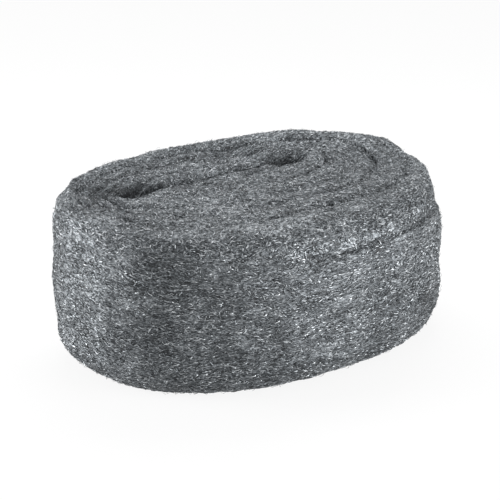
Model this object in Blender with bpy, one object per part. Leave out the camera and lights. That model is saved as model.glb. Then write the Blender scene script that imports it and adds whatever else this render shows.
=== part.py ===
"""A bundle of steel wool: one long wool band wound flat into an oblong roll.

The roll stands on the edges of its turns. Its length runs along X, its depth along Y and the
width of the band along Z. The origin is on the floor, under the middle of the outer box.
All sizes are in metres and all angles in degrees, counted from +X towards +Y.
"""

import math

import bmesh
import bpy
import numpy as np

# Outer form of the roll
ROLL_LENGTH = 0.165  # along X, before the belly and the soft sides add to it
ROLL_DEPTH = 0.1085  # along Y, at mid length, before the same
BAND_WIDTH = 0.070  # the band stands on edge, so this is the roll's height
PLAN_FULLNESS = 2.4  # 2 is an ellipse, and more is squarer
END_TAPER = 0.10  # the left end is deeper than the middle by this share, the right end less deep
SKEW = 0.0095  # how far the plan is pushed askew, as a share
LOBE = 0.042  # how far the plan is pressed into three soft sides, as a share
LOBE_ANGLE = 45.0  # where one of those sides bulges most
BELLY = 0.0031  # how far the wall swells at half height
LEAN_BACK = 0.0025  # how far the top has slid over the foot, towards +Y
TOP_FALL_RIGHT = 0.0037  # the top face falls this much from the left end to the right
TOP_RISE_BACK = 0.0034  # and rises this much from the front to the back

# Edges between the wall and the two faces
REAR_RIM_RADIUS = 0.0025
FRONT_RIM_RADIUS = 0.0120
RIM_NARROWING = 3  # more keeps the wide rim closer to the front
FOOT_RADIUS = 0.0138

# The folded core, where the winding starts
CORE_LENGTH = 0.078  # from one fold eye to the other
CORE_RIGHT = -0.0120  # middle of the core, from the middle of the top
CORE_BACK = 0.0195
CORE_BOW = 0.0040  # the slit sags towards the front by this between its eyes
SLIT_GAP = 0.0012
SLIT_DEPTH = 0.0014
SLIT_SPREAD = 0.0016  # how far out from the slit the wool sinks into it
LEFT_EYE_RADIUS = 0.0064
RIGHT_EYE_RADIUS = 0.0054
EYE_DEPTH = 0.0085
EYE_STRETCH = 1.6  # an eye is longer along the slit than across it by this

# The turns of the band
TURN_COUNT = 5
BAND_END_ANGLE = 104.0  # where the loose outer end of the band lies, on the back
BAND_END_STEP = 0.0018  # thickness of that feathered end
TOP_GROOVE_DEPTH = 0.0011  # between the edges of two turns
FOOT_GROOVE_DEPTH = 0.0012
GROOVE_SHARPNESS = 1.3  # more makes the grooves narrower and the edges of the turns broader
FLAT_SHARE = 0.50  # share of each groove's depth that the weight of the roll presses flat
LEAST_RISE = 0.0001  # what rises less than this off the floor lies flat on it
TURN_WANDER = 0.0008  # how far the band's edge strays up and down as it winds

# The last turn sits lower than the one under it, round the right side
LEDGE_DROP = 0.0010  # below the lower edge of the rounded rim, along the front
LEDGE_SAG = 0.0120  # further drop round the right end
LEDGE_DEPTH = 0.0014
LEDGE_RISE = 0.0016  # height over which the ledge steps in
LEDGE_MIDDLE_ANGLE = 325.0
LEDGE_SPAN = 150.0
LEDGE_FADE = 30.0

# Shallow hollows pressed in the top face: right, back, radius, depth
HOLLOWS = (
    (-0.064, 0.030, 0.012, 0.0020),
    (0.013, 0.034, 0.010, 0.0028),
    (0.060, -0.008, 0.013, 0.0020),
)

# Soft tufts all over the skin, where the wool is packed more or less
TUFT_SPACING = 0.014
TUFT_HEIGHT = 0.00045

# Fineness of the mesh
AROUND = 80
TOP_RINGS = 26
RIM_RINGS = 5
WALL_RINGS = 8
FOOT_RINGS = 20

STEEL_WOOL_GREY = (0.17, 0.178, 0.186, 1.0)

ANGLES = np.arange(AROUND) * 2 * math.pi / AROUND


def signed_power(value, exponent):
    return np.sign(value) * np.abs(value) ** exponent


def angle_past(start):
    """Each angle counted on from start, from 0 to a full turn, in radians."""
    return np.mod(ANGLES - math.radians(start), 2 * math.pi)


def outline():
    """The outside of the last turn at the height where it swells least, before lean."""
    along = signed_power(np.cos(ANGLES), 2 / PLAN_FULLNESS)
    across = signed_power(np.sin(ANGLES), 2 / PLAN_FULLNESS)
    pressed = LOBE * np.cos(3 * (ANGLES - math.radians(LOBE_ANGLE)))
    swell = 1 - SKEW * np.sin(2 * ANGLES) + pressed
    x = ROLL_LENGTH / 2 * along * swell
    y = ROLL_DEPTH / 2 * across * swell * (1 - END_TAPER * along)
    end_step = BAND_END_STEP * (0.5 - angle_past(BAND_END_ANGLE) / (2 * math.pi))
    return np.stack([x, y], axis=1) - outward(x, y) * end_step[:, None]


def outward(x, y):
    reach = np.hypot(x, y)
    return np.stack([x / reach, y / reach], axis=1)


def core_loop():
    """The slit in the middle, as a thin closed loop."""
    x = CORE_RIGHT + CORE_LENGTH / 2 * np.cos(ANGLES)
    y = CORE_BACK - CORE_BOW * np.sin(ANGLES) ** 2 + SLIT_GAP / 2 * np.sin(ANGLES)
    return np.stack([x, y], axis=1)


def lean(height):
    """How far the plan is shifted at this height: the foot forwards and the top back."""
    back = LEAN_BACK * (height / BAND_WIDTH - 0.5)
    return np.stack([np.zeros_like(back), back], axis=-1)


def belly(height):
    return BELLY * (1 - (2 * height / BAND_WIDTH - 1) ** 2)


def rim_radius():
    front = ((1 - np.sin(ANGLES)) / 2) ** RIM_NARROWING
    return REAR_RIM_RADIUS + (FRONT_RIM_RADIUS - REAR_RIM_RADIUS) * front


def smooth_step(value):
    share = np.clip(value, 0, 1)
    return share * share * (3 - 2 * share)


def ledge_inset():
    """How far the wool above the ledge lies in from the last turn, fading to 0 at both ends."""
    middle = math.radians(LEDGE_MIDDLE_ANGLE)
    away = np.abs(np.mod(ANGLES - middle + math.pi, 2 * math.pi) - math.pi)
    return LEDGE_DEPTH * smooth_step((math.radians(LEDGE_SPAN / 2) - away) / math.radians(LEDGE_FADE))


def turns_out(share):
    """Turns counted out from the core, at this share of the way to the rim."""
    return TURN_COUNT * share - angle_past(BAND_END_ANGLE) / (2 * math.pi)


def groove(share):
    """1 between two turns and 0 on the middle of each turn's edge, in a soft wave."""
    return (0.5 + 0.5 * np.cos(2 * math.pi * turns_out(share))) ** GROOVE_SHARPNESS


def wander(share):
    """Height of the band's edge as it strays, following the band from turn to turn."""
    wound = 2 * math.pi * np.floor(turns_out(share)) + angle_past(BAND_END_ANGLE)
    return TURN_WANDER * (np.sin(0.31 * wound + 0.4) + 0.6 * np.sin(0.83 * wound + 2.0))


def pit(place, middle_x, middle_y, radius, stretch=1.0):
    """1 in the middle of a round hollow, falling softly to 0."""
    across = (place[:, 1] - middle_y) / radius
    along = (place[:, 0] - middle_x) / (radius * stretch)
    return np.exp(-(across**2 + along**2))


def sinking(place, share):
    """Depth of the slit and of the two fold eyes under a face."""
    from_slit = share * np.linalg.norm(outline() - core_loop(), axis=1)
    slit = SLIT_DEPTH * np.exp(-((from_slit / SLIT_SPREAD) ** 2))
    left = pit(place, CORE_RIGHT - CORE_LENGTH / 2, CORE_BACK, LEFT_EYE_RADIUS, EYE_STRETCH)
    right = pit(place, CORE_RIGHT + CORE_LENGTH / 2, CORE_BACK, RIGHT_EYE_RADIUS, EYE_STRETCH)
    return slit + EYE_DEPTH * np.maximum(left, right)


def face_plan(share, edge):
    """Plan of one ring of a face, between the core and the inner edge of its rim."""
    return core_loop() * (1 - share) + edge * share


def top_height(place, share):
    slope = TOP_RISE_BACK * place[:, 1] / ROLL_DEPTH - TOP_FALL_RIGHT * place[:, 0] / ROLL_LENGTH
    height = BAND_WIDTH + slope + wander(share) - TOP_GROOVE_DEPTH * groove(share)
    for right, back, radius, depth in HOLLOWS:
        height -= depth * pit(place, right, back, radius)
    return height - sinking(place, share)


def top_rings():
    """Rings of the top face, from the slit out to the rim."""
    plan = outline()
    inset = rim_radius() + ledge_inset()
    edge = plan - outward(*plan.T) * inset[:, None]
    for share in np.linspace(0, 1, TOP_RINGS):
        place = face_plan(share, edge)
        height = top_height(place, share)
        yield place + lean(BAND_WIDTH), height


def wall_ring(height, inset):
    """One ring of the wall at these heights, drawn in by these insets."""
    plan = outline()
    reach = belly(height) - inset
    return plan + outward(*plan.T) * reach[:, None] + lean(height), height


def rim_rings(edge_height):
    """Rings of the rounded rim, from the top face down to the wall."""
    radius = rim_radius()
    for turned in np.linspace(90, 0, RIM_RINGS + 1)[1:]:
        turn = math.radians(turned)
        height = edge_height - radius * (1 - math.sin(turn))
        yield wall_ring(height, radius * (1 - math.cos(turn)) + ledge_inset())


def wall_rings(rim_foot):
    """Rings of the wall: two at the ledge, and the rest evenly down to the foot."""
    right_end = np.clip(np.cos(ANGLES), 0, 1) ** 4
    ledge_top = rim_foot - LEDGE_DROP - LEDGE_SAG * right_end
    ledge_foot = ledge_top - LEDGE_RISE
    yield wall_ring(ledge_top, ledge_inset())
    for share in np.linspace(0, 1, WALL_RINGS, endpoint=False):
        yield wall_ring(ledge_foot * (1 - share) + FOOT_RADIUS * share, 0)


def foot_edge_rings():
    """Rings of the rounded foot, from the wall down to the floor."""
    for turned in np.linspace(0, 90, RIM_RINGS + 1):
        turn = math.radians(turned)
        height = np.full(AROUND, FOOT_RADIUS * (1 - math.sin(turn)))
        yield wall_ring(height, FOOT_RADIUS * (1 - math.cos(turn)))


def foot_rings():
    """Rings of the foot, from its edge in to the slit. Its turns stand on flat edges."""
    plan = outline()
    edge = plan - outward(*plan.T) * FOOT_RADIUS
    for share in np.linspace(1, 0, FOOT_RINGS + 1)[1:]:
        place = face_plan(share, edge)
        raised = FOOT_GROOVE_DEPTH * (groove(share) - FLAT_SHARE) / (1 - FLAT_SHARE)
        height = np.maximum(raised, 0) + sinking(place, share)
        yield place + lean(0.0), np.where(height < LEAST_RISE, 0.0, height)


def skin_normals(points):
    """Outward directions of the skin: the cross product of its two directions."""
    around = np.roll(points, -1, axis=1) - np.roll(points, 1, axis=1)
    down = np.gradient(points, axis=0)
    normal = np.cross(down, around)
    return normal / np.linalg.norm(normal, axis=-1, keepdims=True)


def tufted(points):
    """The skin lifted and sunk along its normals by three crossed waves. The foot stays flat."""
    x, y, z = np.moveaxis(points * math.pi / TUFT_SPACING, -1, 0)
    wave = np.sin(x) * np.cos(y) + np.sin(y) * np.cos(z) + np.sin(z) * np.cos(x)
    rise = TUFT_HEIGHT * wave * smooth_step(points[..., 2] / FOOT_RADIUS)
    return points + skin_normals(points) * rise[..., None]


def all_rings():
    """Every ring of the skin, as points, from the top slit over the wall to the foot slit."""
    rings = list(top_rings())
    edge_height = rings[-1][1]
    rings += rim_rings(edge_height)
    rings += wall_rings(rings[-1][1])
    rings += foot_edge_rings()
    rings += foot_rings()
    points = tufted(np.array([np.column_stack([plan, height]) for plan, height in rings]))
    middle = (points[..., :2].max(axis=(0, 1)) + points[..., :2].min(axis=(0, 1))) / 2
    points[..., :2] -= middle
    return points


def close_slit(mesh, ring, facing_up):
    """Zips the two long sides of the slit together."""
    half = AROUND // 2
    for step in range(half):
        corners = [ring[step], ring[step + 1], ring[-step - 1], ring[-step]]
        face = [c for i, c in enumerate(corners) if c not in corners[:i]]
        mesh.faces.new(face if facing_up else face[::-1])


def make_roll():
    """The wound roll as one closed solid."""
    mesh = bmesh.new()
    rings = [[mesh.verts.new(point) for point in ring] for ring in all_rings()]
    for upper, lower in zip(rings, rings[1:]):
        for step in range(AROUND):
            after = (step + 1) % AROUND
            mesh.faces.new((upper[step], lower[step], lower[after], upper[after]))
    close_slit(mesh, rings[0], facing_up=True)
    close_slit(mesh, rings[-1], facing_up=False)
    bmesh.ops.triangulate(mesh, faces=mesh.faces[:])
    bmesh.ops.recalc_face_normals(mesh, faces=mesh.faces[:])
    data = bpy.data.meshes.new("wool_roll")
    mesh.to_mesh(data)
    mesh.free()
    data.shade_smooth()
    return bpy.data.objects.new("wool_roll", data)


def steel_wool():
    """Fine steel fibres, seen from a step away as a satin grey."""
    material = bpy.data.materials.new("steel_wool")
    material.use_nodes = True
    shader = material.node_tree.nodes["Principled BSDF"]
    shader.inputs["Base Color"].default_value = STEEL_WOOL_GREY
    shader.inputs["Metallic"].default_value = 0.85
    shader.inputs["Roughness"].default_value = 0.5
    return material


def main():
    for old in list(bpy.data.objects):
        bpy.data.objects.remove(old)
    roll = make_roll()
    roll.data.materials.append(steel_wool())
    bpy.context.scene.collection.objects.link(roll)


main()
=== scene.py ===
# A bundle of steel wool: the wound roll, and the steel fibres that it is made of.
# Lengths are in metres. Angles in the dictionaries are in degrees, counted from +X towards +Y.

import math

import bpy
import numpy as np
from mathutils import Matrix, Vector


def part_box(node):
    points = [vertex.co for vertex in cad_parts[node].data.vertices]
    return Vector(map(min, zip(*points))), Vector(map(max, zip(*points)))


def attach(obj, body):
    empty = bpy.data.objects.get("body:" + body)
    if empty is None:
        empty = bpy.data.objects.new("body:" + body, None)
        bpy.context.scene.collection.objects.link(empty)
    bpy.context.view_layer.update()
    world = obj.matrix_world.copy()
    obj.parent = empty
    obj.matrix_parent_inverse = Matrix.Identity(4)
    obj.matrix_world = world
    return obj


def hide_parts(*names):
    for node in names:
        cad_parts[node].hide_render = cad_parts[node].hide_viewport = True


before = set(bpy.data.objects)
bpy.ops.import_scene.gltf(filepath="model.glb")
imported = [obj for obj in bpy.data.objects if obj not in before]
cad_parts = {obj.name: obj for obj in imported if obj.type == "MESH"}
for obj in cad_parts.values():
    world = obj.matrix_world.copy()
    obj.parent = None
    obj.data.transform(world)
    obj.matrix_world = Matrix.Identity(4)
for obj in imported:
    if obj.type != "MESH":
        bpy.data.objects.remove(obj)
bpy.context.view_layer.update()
print("frame loaded")


# Camera and light

view = {
    "azimuth": -34.14,  # 0 looks along +Y
    "elevation": 22.0,
    "distance": 0.99,
    "aim": (-0.00032, 0.00426, 0.03843),
    "lens": 168.75,
}


def towardsCamera(azimuth, elevation):
    # the unit vector from the aim towards a place at this azimuth and elevation
    a, e = math.radians(azimuth), math.radians(elevation)
    return np.array([math.sin(a) * math.cos(e), -math.cos(a) * math.cos(e), math.sin(e)])


def facing(direction):
    # Euler angles that turn -Z, where cameras and lamps look, along the direction
    x, y, z = direction
    return (math.atan2(math.hypot(x, y), -z), 0, math.atan2(x, -y) + math.pi)


def makeCamera():
    data = bpy.data.cameras.new("camera")
    data.lens = view["lens"]
    data.clip_start, data.clip_end = 0.01, 20
    camera = bpy.data.objects.new("camera", data)
    back = towardsCamera(view["azimuth"], view["elevation"])
    camera.location = np.array(view["aim"]) + back * view["distance"]
    camera.rotation_euler = facing(-back)
    bpy.context.scene.collection.objects.link(camera)
    bpy.context.scene.camera = camera


lampAim = (0, 0, 0.035)

lamps = {  # azimuth and elevation it shines from, distance, width, height, watts
    "leftLamp": (-124, 9, 1.1, 0.6, 0.4, 18.5),
    "rightLamp": (35, 8, 1.2, 0.7, 0.4, 20.5),
    "topLamp": (146, 60, 0.32, 0.30, 0.20, 0.98),
}


def makeLamp(name, azimuth, elevation, distance, width, height, power):
    data = bpy.data.lights.new(name, "AREA")
    data.shape = "RECTANGLE"
    data.size, data.size_y = width, height
    data.energy = power
    lamp = bpy.data.objects.new(name, data)
    way = towardsCamera(azimuth, elevation)
    lamp.location = np.array(lampAim) + way * distance
    lamp.rotation_euler = facing(-way)
    bpy.context.scene.collection.objects.link(lamp)


# Materials

class Signal:
    # A node's output socket, so that shader maths is written as plain sums
    def __init__(self, finish, socket):
        self.finish, self.socket = finish, socket

    def combine(self, operation, first, second):
        return self.finish.node("ShaderNodeMath", {"operation": operation}, {0: first, 1: second})

    def __add__(self, other):
        return self.combine("ADD", self, other)

    def __radd__(self, other):
        return self.combine("ADD", other, self)

    def __sub__(self, other):
        return self.combine("SUBTRACT", self, other)

    def __rsub__(self, other):
        return self.combine("SUBTRACT", other, self)

    def __mul__(self, other):
        return self.combine("MULTIPLY", self, other)

    def __rmul__(self, other):
        return self.combine("MULTIPLY", other, self)


class Finish:
    # A material and its nodes
    def __init__(self, name):
        self.material = bpy.data.materials.new(name)
        self.material.use_nodes = True
        self.nodes = self.material.node_tree.nodes
        self.links = self.material.node_tree.links
        self.surface = self.nodes["Principled BSDF"]

    def node(self, kind, settings, values, output=0):
        made = self.nodes.new(kind)
        for key, setting in settings.items():
            if key == "stops":
                self.setStops(made.color_ramp, setting)
            else:
                setattr(made, key, setting)
        for key, value in values.items():
            self.feed(made.inputs[key], value)
        return Signal(self, made.outputs[output])

    def setStops(self, ramp, stops):
        for place, colour in stops[2:]:
            ramp.elements.new(place)
        for element, (place, colour) in zip(ramp.elements, stops):
            element.position = place
            element.color = (*colour, 1)

    def feed(self, socket, value):
        if isinstance(value, Signal):
            self.links.new(value.socket, socket)
        else:
            socket.default_value = value

    def attribute(self, name, output):
        return self.node("ShaderNodeAttribute", {"attribute_name": name}, {}, output)

    def noise(self, place, scale, detail=2.0):
        return self.node("ShaderNodeTexNoise", {}, {"Vector": place, "Scale": scale, "Detail": detail})

    def place(self):
        return self.node("ShaderNodeTexCoord", {}, {}, "Object")

    def ramp(self, value, stops):
        return self.node("ShaderNodeValToRGB", {"stops": stops}, {"Fac": value})

    def spread(self, value, fromLow, fromHigh, toLow, toHigh):
        # the value moved from one range to another, and held inside it
        inputs = {1: fromLow, 2: fromHigh, 3: toLow, 4: toHigh}
        return self.node("ShaderNodeMapRange", {"clamp": True}, {0: value, **inputs})

    def set(self, **values):
        for key, value in values.items():
            self.feed(self.surface.inputs[key.replace("_", " ")], value)


# The wool's greys, from painted deep shade in gaps and folds up to a painted glint
woolGrey = {
    "deep": (0.020, 0.021, 0.022),
    "dark": (0.060, 0.066, 0.071),
    "middle": (0.156, 0.169, 0.180),
    "bright": (0.285, 0.30, 0.313),
    "paintedGlint": (0.413, 0.43, 0.444),
}

fibreLook = {
    "patchScale": 55.0,
    "patchShare": 0.30,
    "alongScale": 1300.0,
    "paintedGlintFleckShare": 1.2,
    "metallic": 0.85,
    "roughness": (0.36, 0.58),
}

feltLook = {
    "fineScale": 700.0,
    "fineShare": 0.75,
    "broadScale": 130.0,
    "broadShare": 0.25,
    "patchScale": 55.0,
    "patchShare": 0.20,
    "contrast": 4.4,
    "paintedLightShare": 0.46,
    "metallic": 0.7,
    "roughness": 0.5,
    "bumpStrength": 0.9,
    "bumpDepth": 0.0003,
}


def fibreFinish():
    # Each fibre carries its own tone from 0 to 1, with painted highlights and painted shade in it, and
    # broad patches of the roll vary a little
    finish = Finish("steelFibre")
    tone = finish.attribute("tone", "Fac")
    patches = finish.noise(finish.place(), fibreLook["patchScale"])
    # painted glints: fine noise along the fibres makes short lighter and darker flecks in the colour,
    # and also sets the roughness
    along = finish.noise(finish.place(), fibreLook["alongScale"], 1.0)
    seen = tone + (patches - 0.5) * fibreLook["patchShare"] + (along - 0.5) * fibreLook["paintedGlintFleckShare"]
    stops = [
        (0.0, woolGrey["deep"]),
        (0.30, woolGrey["dark"]),
        (0.58, woolGrey["middle"]),
        (0.82, woolGrey["bright"]),
        (1.0, woolGrey["paintedGlint"]),
    ]
    finish.set(Base_Color=finish.ramp(seen, stops))
    finish.set(Metallic=fibreLook["metallic"])
    finish.set(Roughness=finish.spread(along, 0.3, 0.7, *fibreLook["roughness"]))
    return finish.material


def massFinish():
    # The felted mass under the loose fibres: fine streaks along the winding, with painted shade in the
    # dark gaps between them
    finish = Finish("feltedWool")
    wound = finish.attribute("woundPlace", "Vector")
    fine = finish.noise(wound, feltLook["fineScale"], 3.0)
    broad = finish.noise(wound, feltLook["broadScale"], 2.0)
    patches = finish.noise(finish.place(), feltLook["patchScale"])
    openness = finish.attribute("openness", "Fac")
    streaks = fine * feltLook["fineShare"] + broad * feltLook["broadShare"]
    streaks = streaks + (patches - 0.5) * feltLook["patchShare"]
    # painted shade: where the light level attribute is low, in the slit, eyes, grooves, hollows and
    # crease, the colour is darker
    lit = (streaks - 0.5) * feltLook["contrast"] + openness * feltLook["paintedLightShare"]
    stops = [
        (0.0, woolGrey["deep"]),
        (0.38, woolGrey["dark"]),
        (0.80, woolGrey["middle"]),
        (1.0, woolGrey["bright"]),
    ]
    finish.set(Base_Color=finish.ramp(lit, stops))
    finish.set(Metallic=feltLook["metallic"], Roughness=feltLook["roughness"])
    depth = {"Strength": feltLook["bumpStrength"], "Distance": feltLook["bumpDepth"]}
    bump = finish.node("ShaderNodeBump", {}, {**depth, "Height": fine})
    finish.set(Normal=bump)
    return finish.material


# The roll's form

tiny = 1e-12  # keeps a length that is divided by above nothing

roll = {
    "length": 0.165,
    "depth": 0.1085,
    "bandWidth": 0.070,
    "fullness": 2.4,
    "endTaper": 0.10,
    "skew": 0.0095,
    "lobe": 0.042,
    "lobeAngle": 45.0,
    "belly": 0.0031,
    "leanBack": 0.0025,
    "fallRight": 0.0037,
    "riseBack": 0.0034,
    "rearRim": 0.0025,
    "frontRim": 0.0120,
    "rimNarrowing": 3,
    "foot": 0.0138,
    "coreLength": 0.078,
    "coreRight": -0.0120,
    "coreBack": 0.0195,
    "coreBow": 0.0040,
    "slitGap": 0.0012,
    "slitDepth": 0.0014,
    "slitSpread": 0.0016,
    "leftEye": 0.0064,
    "rightEye": 0.0054,
    "eyeDepth": 0.0085,
    "eyeStretch": 1.6,
    "turns": 5,
    "bandEnd": 104.0,
    "bandEndStep": 0.0018,
    "topGroove": 0.0011,
    "footGroove": 0.0012,
    "grooveSharpness": 1.3,
    "flatShare": 0.50,
    "wander": 0.0008,
    "wanderWaves": ((1.0, 0.31, 0.4), (0.6, 0.83, 2.0)),  # share, waves for each radian wound, start
    "ledgeDrop": 0.0010,
    "ledgeSag": 0.0120,
    "ledgeDepth": 0.0014,
    "ledgeRise": 0.0016,
    "ledgeMiddle": 325.0,
    "ledgeSpan": 150.0,
    "ledgeFade": 30.0,
    "sagFocus": 4,  # higher keeps the ledge's sag nearer to the right end
    "hollows": (  # right, back, radius, depth
        (-0.064, 0.030, 0.012, 0.0020),
        (0.013, 0.034, 0.010, 0.0028),
        (0.060, -0.008, 0.013, 0.0020),
    ),
    # painted shade: how much each of these darkens the colour, in the hollows, fold eyes, slit, grooves
    # and the ledge's crease, on the top and on the foot
    "hollowShade": 0.30,
    "eyeShade": 0.95,
    "slitShade": 0.05,
    "grooveShade": 0.12,
    "creaseShade": 0.35,
    "footEyeShade": 0.75,
    "footSlitShade": 0.45,
    "footGrooveShade": 0.30,
    "around": 400,
    "topRings": 84,
    "rimRings": 14,
    "aboveLedgeRings": 6,
    "ledgeRings": 5,
    "wallRings": 36,
    "footEdgeRings": 12,
    "footRings": 44,
    "tuftSpacing": 0.014,
    "tuftHeight": 0.00045,
    "feltSize": 0.0016,
    "feltHeight": 0.0004,
    "feltPull": (0.25, 0.25, 0.16),  # under 1 draws the felt's lumps out along the winding
    "fibreRoom": 0.0003,  # how far the mass lies under the solid's skin, to leave room for the fibres
}

angles = np.arange(roll["around"]) * 2 * math.pi / roll["around"]


def signedPower(value, exponent):
    # the power of the value without its sign, given the sign back
    return np.sign(value) * np.abs(value) ** exponent


def smoothStep(value):
    # 0 up to 0, 1 from 1 on, and 3 squares less 2 cubes between
    share = np.clip(value, 0, 1)
    return share * share * (3 - 2 * share)


def pastBandEnd():
    # each angle counted on from the band's loose end, from 0 to a full turn
    return np.mod(angles - math.radians(roll["bandEnd"]), 2 * math.pi)


def outwardOf(plan):
    # the unit vectors from the middle of the plan to its points
    return plan / np.linalg.norm(plan, axis=-1, keepdims=True)


def outline():
    # A rounded oblong: powers of cosine and sine, pressed askew and into three soft sides,
    # deeper at the left end, and wound inwards by the thickness of the band's loose end
    along = signedPower(np.cos(angles), 2 / roll["fullness"])
    across = signedPower(np.sin(angles), 2 / roll["fullness"])
    pressed = roll["lobe"] * np.cos(3 * (angles - math.radians(roll["lobeAngle"])))
    swell = 1 - roll["skew"] * np.sin(2 * angles) + pressed
    x = roll["length"] / 2 * along * swell
    y = roll["depth"] / 2 * across * swell * (1 - roll["endTaper"] * along)
    plan = np.stack([x, y], axis=-1)
    endStep = roll["bandEndStep"] * (0.5 - pastBandEnd() / (2 * math.pi))
    return plan - outwardOf(plan) * endStep[:, None]


def coreLoop():
    # a thin closed loop, bowed towards the front, for the slit
    x = roll["coreRight"] + roll["coreLength"] / 2 * np.cos(angles)
    y = roll["coreBack"] - roll["coreBow"] * np.sin(angles) ** 2 + roll["slitGap"] / 2 * np.sin(angles)
    return np.stack([x, y], axis=-1)


def rimRadius():
    # from the rear radius to the front one, by a power of how far round to the front
    front = ((1 - np.sin(angles)) / 2) ** roll["rimNarrowing"]
    return roll["rearRim"] + (roll["frontRim"] - roll["rearRim"]) * front


def ledgeInset():
    # the ledge's depth over its span, faded out at both ends of the span
    middle = math.radians(roll["ledgeMiddle"])
    away = np.abs(np.mod(angles - middle + math.pi, 2 * math.pi) - math.pi)
    reach = (math.radians(roll["ledgeSpan"] / 2) - away) / math.radians(roll["ledgeFade"])
    return roll["ledgeDepth"] * smoothStep(reach)


def turnsOut(share):
    # turns counted from the core, a whole turn more each time round from the band's loose end
    return roll["turns"] * share - pastBandEnd() / (2 * math.pi)


def groove(share):
    # a soft wave across the turns: 1 between two turns, 0 on the middle of a turn's edge
    return (0.5 + 0.5 * np.cos(2 * math.pi * turnsOut(share))) ** roll["grooveSharpness"]


def wander(share):
    # waves along the wound band, so that each turn's edge rises and falls by itself
    wound = 2 * math.pi * np.floor(turnsOut(share)) + pastBandEnd()
    waves = [share * np.sin(rate * wound + start) for share, rate, start in roll["wanderWaves"]]
    return roll["wander"] * sum(waves)


def pit(place, right, back, radius, stretch=1.0):
    # 1 in the middle of a round hollow, falling off as a bell curve
    across = (place[..., 1] - back) / radius
    along = (place[..., 0] - right) / (radius * stretch)
    return np.exp(-(across**2 + along**2))


def eyes(place):
    # the deeper of two hollows, one at each end of the slit
    half = roll["coreLength"] / 2
    left = pit(place, roll["coreRight"] - half, roll["coreBack"], roll["leftEye"], roll["eyeStretch"])
    right = pit(place, roll["coreRight"] + half, roll["coreBack"], roll["rightEye"], roll["eyeStretch"])
    return np.maximum(left, right)


def slit(share):
    # a bell curve of the distance from the core's loop
    fromSlit = share * np.linalg.norm(outline() - coreLoop(), axis=-1)
    return np.exp(-((fromSlit / roll["slitSpread"]) ** 2))


def sinking(place, share):
    # how deep the slit and the fold eyes go, added up
    return roll["slitDepth"] * slit(share) + roll["eyeDepth"] * eyes(place)


def facePlan(share, inset):
    # rings blended from the slit's loop to the inner edge of the rim
    edge = outline() - outwardOf(outline()) * np.broadcast_to(inset, angles.shape)[:, None]
    return coreLoop() * (1 - share[..., None]) + edge * share[..., None]


def leaning(plan, height):
    # the plan at its height, moved back in step with the height above the band's middle
    back = roll["leanBack"] * (height / roll["bandWidth"] - 0.5)
    return np.stack([plan[..., 0], plan[..., 1] + back, height], axis=-1)


def topBlock():
    # the band's width, sloped to the right and back, less the grooves, hollows, slit and eyes
    share = np.linspace(0, 1, roll["topRings"])[:, None] * np.ones_like(angles)
    place = facePlan(share, rimRadius() + ledgeInset())
    slope = roll["riseBack"] * place[..., 1] / roll["depth"]
    slope = slope - roll["fallRight"] * place[..., 0] / roll["length"]
    height = roll["bandWidth"] + slope + wander(share) - roll["topGroove"] * groove(share)
    # painted shade: the light level falls in the fold eyes, the slit, the grooves and the hollows
    openness = 1 - roll["eyeShade"] * eyes(place) - roll["slitShade"] * slit(share)
    openness -= roll["grooveShade"] * groove(share) ** 2
    for right, back, radius, depth in roll["hollows"]:
        height -= depth * pit(place, right, back, radius)
        openness -= roll["hollowShade"] * pit(place, right, back, radius)
    height -= sinking(place, share)
    full = leaning(place, np.full_like(height, roll["bandWidth"]))
    full[..., 2] = height
    return full, openness


def wallBlock(height, inset):
    # the outline swollen by a parabola up its height, drawn in by the inset, and leaned back
    swell = roll["belly"] * (1 - (2 * height / roll["bandWidth"] - 1) ** 2)
    plan = outline() + outwardOf(outline()) * (swell - inset)[..., None]
    return leaning(plan, height), np.ones_like(height)


def rimBlock(edgeHeight):
    # a quarter of a circle from the top's edge down to the wall, by sine and cosine
    turned = np.linspace(math.pi / 2, 0, roll["rimRings"] + 1)[1:, None]
    height = edgeHeight - rimRadius() * (1 - np.sin(turned))
    return wallBlock(height, rimRadius() * (1 - np.cos(turned)) + ledgeInset())


def ledgeAndWallBlock(rimFoot):
    # straight down to the ledge, out over it by a smooth step, and straight down to the foot.
    # The ledge sags by a power of the cosine, most at the right end
    rightEnd = np.clip(np.cos(angles), 0, 1) ** roll["sagFocus"]
    ledgeTop = rimFoot - roll["ledgeDrop"] - roll["ledgeSag"] * rightEnd
    ledgeFoot = ledgeTop - roll["ledgeRise"]
    above, steps = roll["aboveLedgeRings"], roll["ledgeRings"]
    upper = rimFoot + (ledgeTop - rimFoot) * np.linspace(0, 1, above + 1)[1:, None]
    drop = np.linspace(0, 1, steps + 1)[1:, None]
    step = ledgeTop + (ledgeFoot - ledgeTop) * drop
    share = np.linspace(0, 1, roll["wallRings"], endpoint=False)[1:, None]
    lower = ledgeFoot * (1 - share) + roll["foot"] * share
    height = np.concatenate([upper, step, lower])
    inset = np.concatenate([
        np.ones((above, 1)) * ledgeInset(),
        (1 - smoothStep(drop)) * ledgeInset(),
        np.zeros((len(share), 1)) * ledgeInset(),
    ])
    full, openness = wallBlock(height, inset)
    # painted shade along the ledge's crease
    crease = ledgeInset() / roll["ledgeDepth"]
    openness[above - 2 : above + 3] -= roll["creaseShade"] * crease
    return full, openness


def footEdgeBlock():
    # a quarter of a circle from the wall in to the foot, by sine and cosine
    turned = np.linspace(0, math.pi / 2, roll["footEdgeRings"] + 1)[:, None] * np.ones_like(angles)
    height = roll["foot"] * (1 - np.sin(turned))
    return wallBlock(height, roll["foot"] * (1 - np.cos(turned)))


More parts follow.
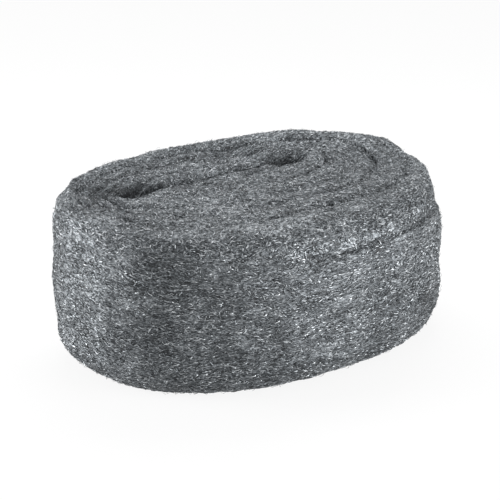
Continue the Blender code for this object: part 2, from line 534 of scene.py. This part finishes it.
def footBlock():
    # flat on the floor, raised where the grooves, the slit and the eyes are
    share = np.linspace(1, 0, roll["footRings"] + 1)[1:, None] * np.ones_like(angles)
    place = facePlan(share, roll["foot"])
    raised = roll["footGroove"] * (groove(share) - roll["flatShare"]) / (1 - roll["flatShare"])
    full = leaning(place, np.zeros_like(share))
    full[..., 2] = np.maximum(raised, 0) + sinking(place, share)
    # painted shade in the foot's eyes, slit and grooves
    openness = 1 - roll["footEyeShade"] * eyes(place) - roll["footSlitShade"] * slit(share)
    openness -= roll["footGrooveShade"] * groove(share)
    return full, openness


def valueNoise(place, cell, seed):
    # random values on a lattice of cubes, blended smoothly between the corners, from -1 to 1
    side = 64
    lattice = np.random.default_rng(seed).uniform(-1, 1, (side, side, side))
    scaled = place / cell
    base = np.floor(scaled).astype(int)
    blend = smoothStep(scaled - base)
    total = np.zeros(place.shape[:-1])
    for corner in np.ndindex(2, 2, 2):
        weight = np.prod(np.where(corner, blend, 1 - blend), axis=-1)
        x, y, z = np.moveaxis((base + corner) % side, -1, 0)
        total += weight * lattice[x, y, z]
    return total


def gridNormals(points):
    # the cross product of the grid's two directions, with columns joined round the roll
    around = np.roll(points, -1, axis=1) - np.roll(points, 1, axis=1)
    down = np.gradient(points, axis=0)
    normal = np.cross(down, around)
    return normal / np.maximum(np.linalg.norm(normal, axis=-1, keepdims=True), tiny)


def woundPlaces(points):
    # Each point's place along the winding and across the band, as a wide drum that has no seam:
    # the angle turns round the drum, and the way down the skin counts 6 times, for long streaks
    stretch, drum = 6.0, 0.072
    way = np.linalg.norm(np.diff(points, axis=0), axis=-1).mean(axis=1)
    down = np.concatenate([[0], np.cumsum(way)])[:, None] * np.ones_like(angles)
    x = drum * np.cos(angles) * np.ones_like(down)
    y = drum * np.sin(angles) * np.ones_like(down)
    return np.stack([x, y, down * stretch], axis=-1)


def tufts(points):
    # three crossed waves in space, which fade out towards the floor
    x, y, z = np.moveaxis(points * math.pi / roll["tuftSpacing"], -1, 0)
    wave = np.sin(x) * np.cos(y) + np.sin(y) * np.cos(z) + np.sin(z) * np.cos(x)
    return roll["tuftHeight"] * wave * smoothStep(points[..., 2] / roll["foot"])


def rollForm():
    # the blocks from the core of the top round to the core of the foot, with tufts and felt added
    # along the normals, centred on the solid and sunk a little to leave room for the fibres
    blocks = [topBlock()]
    blocks.append(rimBlock(blocks[0][0][-1, :, 2]))
    blocks.append(ledgeAndWallBlock(blocks[1][0][-1, :, 2]))
    blocks.append(footEdgeBlock())
    blocks.append(footBlock())
    points = np.concatenate([block[0] for block in blocks])
    openness = np.clip(np.concatenate([block[1] for block in blocks]), 0, 1)
    points = points + gridNormals(points) * tufts(points)[..., None]
    low, high = (np.array(corner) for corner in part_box("wool_roll"))
    plan = points[..., :2]
    points[..., :2] += (low + high)[:2] / 2 - (plan.min(axis=(0, 1)) + plan.max(axis=(0, 1))) / 2
    wound = woundPlaces(points)
    felt = valueNoise(wound * roll["feltPull"], roll["feltSize"], 4) * roll["feltHeight"]
    points = points + gridNormals(points) * (felt - roll["fibreRoom"])[..., None]
    points[..., 2] = np.maximum(points[..., 2], low[2])
    return points, gridNormals(points), wound, openness


# Meshes

def newMesh(name, points, faces, corners):
    # faces is a flat list of point numbers, and corners the number of them in each face
    mesh = bpy.data.meshes.new(name)
    mesh.vertices.add(len(points))
    mesh.vertices.foreach_set("co", points.astype(np.float32).ravel())
    mesh.loops.add(len(faces))
    mesh.loops.foreach_set("vertex_index", faces.astype(np.int32))
    mesh.polygons.add(len(corners))
    starts = np.concatenate([[0], np.cumsum(corners)[:-1]])
    mesh.polygons.foreach_set("loop_start", starts.astype(np.int32))
    mesh.update(calc_edges=True)
    return mesh


def addPiece(name, mesh, material):
    mesh.materials.append(material)
    mesh.validate()
    piece = bpy.data.objects.new(name, mesh)
    bpy.context.scene.collection.objects.link(piece)
    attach(piece, "root")
    print(name, "made with", sum(len(face.vertices) - 2 for face in mesh.polygons), "triangles")
    return piece


def slitFaces(number):
    # quads from side to side across each of the two slits, and a triangle at each slit's ends
    half = number.shape[1] // 2
    step = np.arange(1, half - 1)
    four, three = [], []
    for ring, way in ((number[0], 1), (number[-1], -1)):
        strip = np.stack([ring[step], ring[step + 1], ring[-step - 1], ring[-step]], axis=-1)
        ends = np.array([[ring[0], ring[1], ring[-1]], [ring[half - 1], ring[half], ring[half + 1]]])
        four.append(strip[:, ::way])
        three.append(ends[:, ::way])
    return np.concatenate(four), np.concatenate(three)


def massMap(rows, columns, cornerCount):
    # the bake's map: the grid laid flat above a low band, which holds the slits' faces
    band, margin, lowest, lift = 0.02, 0.01, 0.004, 0.008
    u = np.arange(columns)[:, None] + np.array([0, 0, 1, 1])
    u = np.broadcast_to(u, (rows - 1, columns, 4)) / columns
    v = np.arange(rows - 1)[:, None, None] + np.array([0, 1, 1, 0])
    v = band + (1 - band) * np.broadcast_to(v, (rows - 1, columns, 4)) / (rows - 1)
    spot = np.zeros((cornerCount, 2))
    spot[: u.size] = np.stack([u.ravel(), v.ravel()], axis=-1)
    rest = cornerCount - u.size
    spot[u.size :, 0] = np.linspace(margin, 1 - margin, rest)
    spot[u.size :, 1] = lowest + lift * (np.arange(rest) % 2)
    return spot


def setMap(mesh, spots):
    layer = mesh.uv_layers.new(name="OFBake")
    layer.data.foreach_set("uv", spots.astype(np.float32).ravel())


def makeMass(form):
    # the grid's quads, with its two slits closed
    points, normals, wound, openness = form
    rows, columns = points.shape[:2]
    number = np.arange(rows * columns).reshape(rows, columns)
    after = np.roll(number, -1, axis=1)
    quads = np.stack([number[:-1], number[1:], after[1:], after[:-1]], axis=-1).reshape(-1, 4)
    slitQuads, three = slitFaces(number)
    four = np.concatenate([quads, slitQuads])
    faces = np.concatenate([four.ravel(), three.ravel()])
    corners = np.concatenate([np.full(len(four), 4), np.full(len(three), 3)])
    mesh = newMesh("woolMass", points.reshape(-1, 3), faces, corners)
    mesh.shade_smooth()
    place = mesh.attributes.new("woundPlace", "FLOAT_VECTOR", "POINT")
    place.data.foreach_set("vector", wound.astype(np.float32).ravel())
    # the light level for the painted shade, on each point
    paintedLit = mesh.attributes.new("openness", "FLOAT", "POINT")
    paintedLit.data.foreach_set("value", openness.astype(np.float32).ravel())
    setMap(mesh, massMap(rows, columns, len(faces)))
    return mesh


def onGrid(field, row, column):
    # the field between its grid points, blended from the four round the place
    top = np.clip(np.floor(row).astype(int), 0, field.shape[0] - 2)
    left = np.floor(column).astype(int)
    down = np.clip(row - top, 0, 1).reshape(row.shape + (1,) * (field.ndim - 2))
    over = (column - left).reshape(row.shape + (1,) * (field.ndim - 2))
    columns = field.shape[1]
    upper = field[top, left % columns] * (1 - over) + field[top, (left + 1) % columns] * over
    lower = field[top + 1, left % columns] * (1 - over) + field[top + 1, (left + 1) % columns] * over
    return upper * (1 - down) + lower * down


def gridSteps(points):
    # the length of one row and of one column at each grid point, held above a least length
    leastRow, leastColumn = 1e-5, 5e-5
    rowStep = np.linalg.norm(np.gradient(points, axis=0), axis=-1)
    columnStep = np.linalg.norm(np.roll(points, -1, axis=1) - np.roll(points, 1, axis=1), axis=-1) / 2
    return np.maximum(rowStep, leastRow), np.maximum(columnStep, leastColumn)


def scatter(form, spec, random):
    # random places, evenly over the skin's area between two shares of the way from the top's core
    # to the foot's, counted in rows
    points = form[0]
    rowStep, columnStep = gridSteps(points)
    area = rowStep * columnStep
    rows = np.arange(len(points))[:, None] / len(points)
    low, high = spec["rows"]
    area = area * ((rows >= low) & (rows < high))
    total = np.cumsum(area.ravel())
    picked = np.searchsorted(total, random.uniform(0, total[-1], spec["count"]))
    row, column = np.divmod(picked, points.shape[1])
    return row + random.uniform(-0.5, 0.5, len(row)), column + random.uniform(-0.5, 0.5, len(row))


def fibrePaths(form, spec, random):
    # Each fibre sets off along the winding, turned aside by a random angle, and its heading bends
    # evenly. Its lift is a half wave, which starts and ends under the wool
    points, normals, _, openness = form
    rowStep, columnStep = gridSteps(points)
    row, column = scatter(form, spec, random)
    count, stations = spec["count"], spec["stations"]
    crossing = random.random(count) < spec["crossing"]
    spread = np.where(crossing, spec["crossingSpread"], spec["spread"])
    heading = np.radians(spread) * random.standard_normal(count)
    heading += math.pi * (random.random(count) < 0.5)
    bend = np.radians(spec["bend"]) * random.standard_normal(count) / (stations - 1)
    length = random.uniform(*spec["length"], count)
    rise = random.uniform(*spec["rise"], count)
    # the painted light level where each fibre starts
    paintedLit = onGrid(openness, np.clip(row, 0, len(points) - 1), column)
    path = []
    for step in range(stations):
        row = np.clip(row, 0.5, len(points) - 1.5)
        wave = math.sin(math.pi * step / (stations - 1))
        lift = -spec["dip"] + (rise + spec["dip"]) * wave
        path.append(onGrid(points, row, column) + onGrid(normals, row, column) * lift[:, None])
        stride = length / (stations - 1)
        row = row + np.sin(heading) * stride / onGrid(rowStep, row, column)
        column = column + np.cos(heading) * stride / onGrid(columnStep, row, column)
        heading = heading + bend
    path = np.stack(path, axis=1)
    # a waver of 0 moves nothing, but this draw keeps the later ones in their order
    path[1:-1] += random.normal(0, spec["waver"], path[1:-1].shape)
    path[..., 2] = np.maximum(path[..., 2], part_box("wool_roll")[0][2] + spec["width"][1])
    middle = onGrid(normals, row, column)
    return path, middle, paintedLit


blade = {
    "sides": 3,
    "twist": 0.5,  # radians from one station to the next
    "flatness": 0.7,
    "toneSpread": (1.2, 1.5),  # the beta distribution's two powers
    # painted highlight: tone added to the fibres that glint
    "paintedGlintLift": 0.25,
    "toneKeptInPaintedShade": 0.25,  # share of its tone that a fibre keeps in the deepest painted shade, in a fold
    "cellMargin": 0.1,
}


def bladePoints(path, outward, spec, random):
    # a ring of points round each inner station, by sine and cosine, and a point at both ends
    count, stations = path.shape[:2]
    ahead = np.gradient(path, axis=1)
    ahead /= np.maximum(np.linalg.norm(ahead, axis=-1, keepdims=True), tiny)
    side = np.cross(ahead, outward[:, None, :])
    side /= np.maximum(np.linalg.norm(side, axis=-1, keepdims=True), tiny)
    up = np.cross(side, ahead) * blade["flatness"]
    width = random.uniform(*spec["width"], count)
    turn = random.uniform(0, 2 * math.pi, count)[:, None] + np.arange(stations) * blade["twist"]
    ring = []
    for edge in range(blade["sides"]):
        around = (turn[:, 1:-1] + edge * 2 * math.pi / blade["sides"])[..., None]
        reach = side[:, 1:-1] * np.cos(around) + up[:, 1:-1] * np.sin(around)
        ring.append(path[:, 1:-1] + reach * width[:, None, None] / 2)
    ring = np.stack(ring, axis=2).reshape(count, -1, 3)
    return np.concatenate([path[:, :1], ring, path[:, -1:]], axis=1)


def bladeFaces(stations):
    # one fibre's triangles, and their places in its cell of the bake's map, as station and side
    sides, inner = blade["sides"], stations - 2
    lastRing, tip = 1 + (inner - 1) * sides, 1 + inner * sides
    triangles, cells = [], []
    for edge in range(sides):
        after = (edge + 1) % sides
        here, there = edge / sides, (edge + 1) / sides
        between = (here + there) / 2
        triangles.append((0, 1 + edge, 1 + after))
        cells += [(0, between), (1, here), (1, there)]
        for near in range(1, inner):
            a, b = 1 + (near - 1) * sides + edge, 1 + (near - 1) * sides + after
            triangles += [(a, a + sides, b), (b, a + sides, b + sides)]
            cells += [(near, here), (near + 1, here), (near, there)]
            cells += [(near, there), (near + 1, here), (near + 1, there)]
        triangles.append((lastRing + edge, tip, lastRing + after))
        cells += [(inner, here), (stations - 1, between), (inner, there)]
    return np.array(triangles), np.array(cells) / [stations - 1, 1]


def bladeTones(paintedLit, spec, random):
    # a beta distribution between the two tones, lifted by a painted highlight where it glints and dimmed
    # by painted shade where the light level is low
    low, high = spec["tone"]
    tone = low + (high - low) * random.beta(*blade["toneSpread"], len(paintedLit))
    paintedGlint = random.random(len(paintedLit)) < spec["paintedGlints"]
    lit = np.where(paintedGlint, tone + blade["paintedGlintLift"], tone)
    return lit * (blade["toneKeptInPaintedShade"] + (1 - blade["toneKeptInPaintedShade"]) * paintedLit)


def cellMap(count, cells):
    # the bake's map: a square of cells, one for each fibre, each with a margin
    across = math.ceil(math.sqrt(count))
    corner = np.stack([np.arange(count) % across, np.arange(count) // across], axis=-1)
    inside = cells * (1 - 2 * blade["cellMargin"]) + blade["cellMargin"]
    return (corner[:, None, :] + inside[None]) / across


def makeFibres(name, form, spec, material):
    # each fibre is a three-sided blade with a point at both ends, twisted along its length
    random = np.random.default_rng(spec["seed"])
    path, outward, paintedLit = fibrePaths(form, spec, random)
    points = bladePoints(path, outward, spec, random)
    count, each = points.shape[:2]
    triangles, cells = bladeFaces(spec["stations"])
    faces = (np.arange(count)[:, None, None] * each + triangles).ravel()
    mesh = newMesh(name, points.reshape(-1, 3), faces, np.full(count * len(triangles), 3))
    mesh.shade_flat()
    tone = mesh.attributes.new("tone", "FLOAT", "POINT")
    tones = bladeTones(paintedLit, spec, random)
    tone.data.foreach_set("value", np.repeat(tones, each).astype(np.float32))
    setMap(mesh, cellMap(count, cells))
    return addPiece(name, mesh, material)


# lengths, widths, rises and dips in metres, spreads and bends in degrees. rows are shares of the way
# from the top's core to the foot's, and crossing is the share of fibres that lie across the others
# paintedGlints is the share of fibres given a painted highlight
fibres = {
    "topFibres": {
        "seed": 11, "count": 16000, "stations": 4, "rows": (0.0, 0.50),
        "length": (0.0015, 0.0040), "width": (0.00022, 0.00042), "rise": (0.0001, 0.0005), "dip": 0.0003,
        "spread": 45, "crossing": 0.65, "crossingSpread": 90, "bend": 40, "waver": 0.0,
        "tone": (0.14, 0.95), "paintedGlints": 0.09,
    },
    "topFibresB": {
        "seed": 17, "count": 6000, "stations": 4, "rows": (0.0, 0.40),
        "length": (0.0012, 0.0030), "width": (0.00020, 0.00036), "rise": (0.0002, 0.0007), "dip": 0.0002,
        "spread": 40, "crossing": 0.8, "crossingSpread": 90, "bend": 45, "waver": 0.0,
        "tone": (0.16, 1.0), "paintedGlints": 0.12,
    },
    "wallFibresA": {
        "seed": 12, "count": 16000, "stations": 4, "rows": (0.44, 0.80),
        "length": (0.0018, 0.0045), "width": (0.00024, 0.00044), "rise": (0.0001, 0.0005), "dip": 0.0003,
        "spread": 14, "crossing": 0.22, "crossingSpread": 50, "bend": 20, "waver": 0.0,
        "tone": (0.16, 0.95), "paintedGlints": 0.07,
    },
    "wallFibresB": {
        "seed": 13, "count": 16000, "stations": 4, "rows": (0.44, 0.80),
        "length": (0.0018, 0.0050), "width": (0.00020, 0.00038), "rise": (0.0002, 0.0007), "dip": 0.0003,
        "spread": 14, "crossing": 0.22, "crossingSpread": 60, "bend": 28, "waver": 0.0,
        "tone": (0.16, 0.98), "paintedGlints": 0.08,
    },
    "footFibres": {
        "seed": 14, "count": 7000, "stations": 4, "rows": (0.76, 1.0),
        "length": (0.002, 0.0055), "width": (0.00022, 0.00042), "rise": (0.0001, 0.0004), "dip": 0.0003,
        "spread": 14, "crossing": 0.30, "crossingSpread": 55, "bend": 25, "waver": 0.0,
        "tone": (0.28, 1.0), "paintedGlints": 0.12,
    },
    "curledStrands": {
        "seed": 15, "count": 1600, "stations": 7, "rows": (0.0, 0.85),
        "length": (0.004, 0.009), "width": (0.00012, 0.00022), "rise": (0.0002, 0.0007), "dip": 0.0003,
        "spread": 30, "crossing": 0.5, "crossingSpread": 70, "bend": 110, "waver": 0.0,
        "tone": (0.25, 0.9), "paintedGlints": 0.10,
    },
    "strayHairs": {
        "seed": 16, "count": 2600, "stations": 5, "rows": (0.0, 0.85),
        "length": (0.002, 0.005), "width": (0.00009, 0.00018), "rise": (0.0005, 0.0014), "dip": 0.0004,
        "spread": 25, "crossing": 0.5, "crossingSpread": 80, "bend": 60, "waver": 0.0,
        "tone": (0.2, 0.8), "paintedGlints": 0.05,
    },
}


# Surroundings

floorLook = {
    "half": 3.0,
    "drop": 0.0002,
    "grey": (0.86, 0.86, 0.86, 1),
    "roughness": 0.9,
    "glow": 0.88,  # share of plain white that the camera and reflections see
}

sky = {"onWool": 0.5, "seen": 1.0}


def makeFloor():
    # pale, nearly white to the camera, and it keeps a faint soft shadow
    half = floorLook["half"]
    corners = np.array([[-half, -half, 0], [half, -half, 0], [half, half, 0], [-half, half, 0]])
    corners[:, 2] = -floorLook["drop"]
    mesh = newMesh("floor", corners, np.arange(4), np.array([4]))
    finish = Finish("paleFloor")
    finish.set(Base_Color=floorLook["grey"], Roughness=floorLook["roughness"])
    camera = finish.node("ShaderNodeLightPath", {}, {}, "Is Camera Ray")
    glossy = finish.node("ShaderNodeLightPath", {}, {}, "Is Glossy Ray")
    white = finish.node("ShaderNodeEmission", {}, {"Color": (1, 1, 1, 1), "Strength": 1.0})
    share = (camera + glossy) * floorLook["glow"]
    shaded = Signal(finish, finish.surface.outputs[0])
    mixed = finish.node("ShaderNodeMixShader", {}, {0: share, 1: shaded, 2: white})
    finish.links.new(mixed.socket, finish.nodes["Material Output"].inputs["Surface"])
    mesh.materials.append(finish.material)
    floor = bpy.data.objects.new("floor", mesh)
    bpy.context.scene.collection.objects.link(floor)


def makeWorld():
    # an even grey light on the wool, seen as white behind it and in what it reflects
    world = bpy.data.worlds.new("studio")
    world.use_nodes = True
    bpy.context.scene.world = world
    nodes, links = world.node_tree.nodes, world.node_tree.links
    path = nodes.new("ShaderNodeLightPath")
    strength = nodes.new("ShaderNodeMapRange")
    strength.inputs["To Min"].default_value = sky["onWool"]
    strength.inputs["To Max"].default_value = sky["seen"]
    total = path.outputs["Is Camera Ray"]
    for kind in ("Is Glossy Ray", "Is Transmission Ray"):
        either = nodes.new("ShaderNodeMath")
        either.operation = "MAXIMUM"
        links.new(total, either.inputs[0])
        links.new(path.outputs[kind], either.inputs[1])
        total = either.outputs[0]
    links.new(total, strength.inputs["Value"])
    background = nodes["Background"]
    background.inputs["Color"].default_value = (1, 1, 1, 1)
    links.new(strength.outputs[0], background.inputs["Strength"])


form = rollForm()
print("roll's form worked out")
mass = addPiece("woolMass", makeMass(form), massFinish())
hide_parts("wool_roll")
steel = fibreFinish()
for name, spec in fibres.items():
    makeFibres(name, form, spec, steel)

makeFloor()
makeWorld()
for name, lamp in lamps.items():
    makeLamp(name, *lamp)
makeCamera()
bpy.context.scene.view_settings.view_transform = "Standard"
print("scene set")
